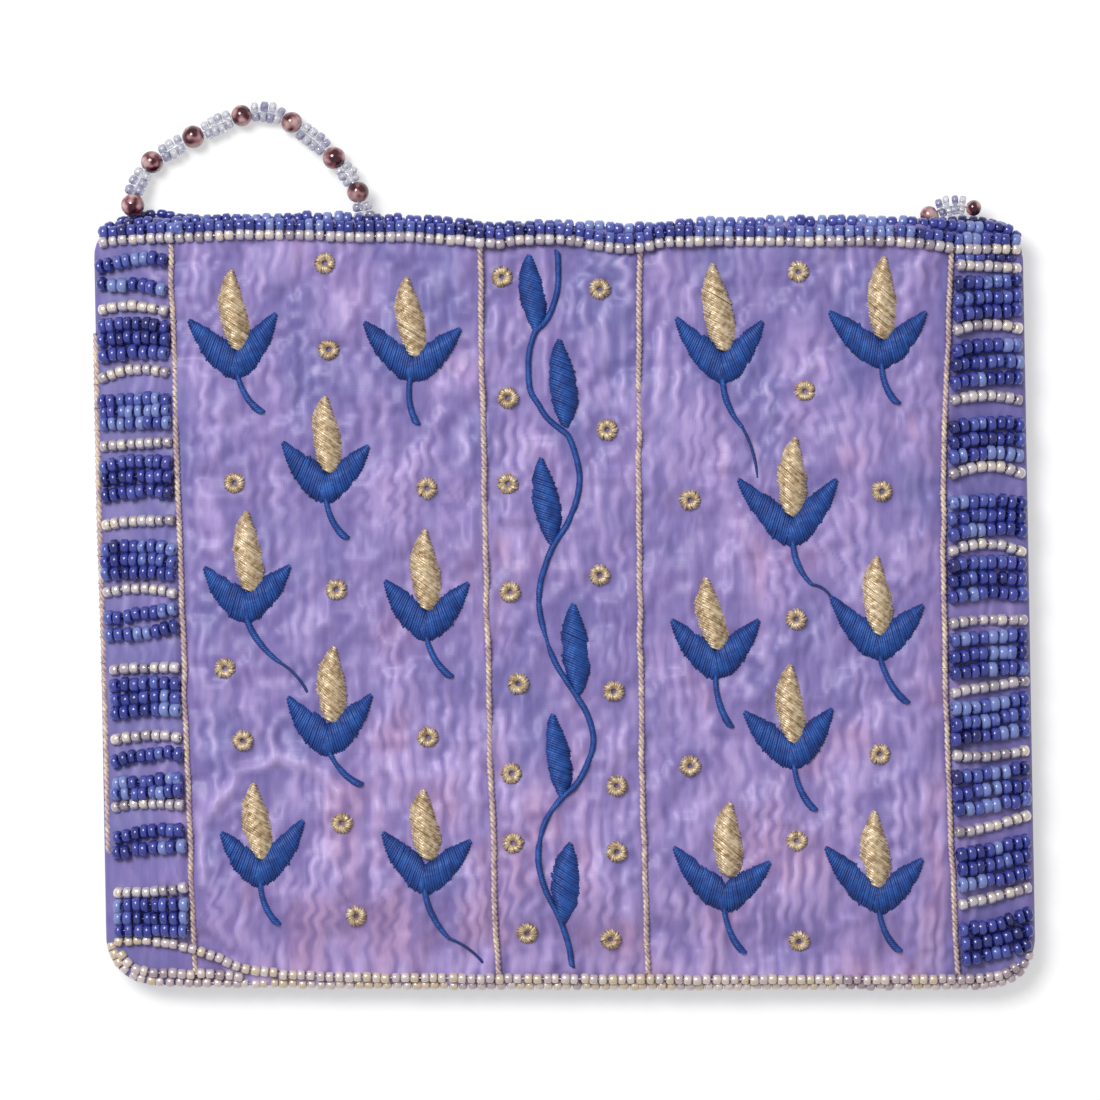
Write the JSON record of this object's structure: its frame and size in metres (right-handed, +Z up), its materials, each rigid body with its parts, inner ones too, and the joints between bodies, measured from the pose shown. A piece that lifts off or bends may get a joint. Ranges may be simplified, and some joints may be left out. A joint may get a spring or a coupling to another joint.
{
  "type": "silk pouch",
  "caption": "Flat rectangular silk pouch with an embroidered front, beaded borders and edges, a lining open at the mouth, and a beaded strap tucked into it.",
  "frame": {"origin": "on the surface that the pouch lies on, under the middle of its outline without the strap", "axes": "+Z up out of the embroidered front, +Y towards the open mouth, +X towards the wearer's right across the front"},
  "size_m": [0.1276, 0.1188, 0.0097],
  "materials": {
    "lavender_silk": "crinkled silk with a soft sheen",
    "lining_cloth": "plain woven",
    "gold_thread": "metallic thread",
    "blue_thread": "satin-stitched silk thread",
    "blue_beads": "glossy seed beads",
    "white_beads": "silver-lined seed beads",
    "strap_beads": "clear lavender and amethyst beads"
  },
  "bodies": {
    "root": {"front_silk": "lavender_silk", "back_silk": "lavender_silk", "lining": "lining_cloth", "bud_01": "gold_thread", "bud_02": "gold_thread", "bud_03": "gold_thread", "bud_04": "gold_thread", "bud_05": "gold_thread", "bud_06": "gold_thread", "bud_07": "gold_thread", "bud_08": "gold_thread", "bud_09": "gold_thread", "bud_10": "gold_thread", "bud_11": "gold_thread", "bud_12": "gold_thread", "bud_13": "gold_thread", "bud_14": "gold_thread", "bud_15": "gold_thread", "bud_16": "gold_thread", "cup_01": "blue_thread", "cup_02": "blue_thread", "cup_03": "blue_thread", "cup_04": "blue_thread", "cup_05": "blue_thread", "cup_06": "blue_thread", "cup_07": "blue_thread", "cup_08": "blue_thread", "cup_09": "blue_thread", "cup_10": "blue_thread", "cup_11": "blue_thread", "cup_12": "blue_thread", "cup_13": "blue_thread", "cup_14": "blue_thread", "cup_15": "blue_thread", "cup_16": "blue_thread", "vine": "blue_thread", "gold_cord_left": "gold_thread", "gold_cord_middle_left": "gold_thread", "gold_cord_middle_right": "gold_thread", "gold_cord_right": "gold_thread", "left_edge_cord": "gold_thread", "left_border_beads": "blue_beads", "right_border_beads": "blue_beads", "front_mouth_blue_beads": "blue_beads", "front_mouth_white_beads": "white_beads", "back_mouth_beads": "blue_beads", "bottom_beads": "white_beads", "strap": "strap_beads"}
  },
  "joints": []
}
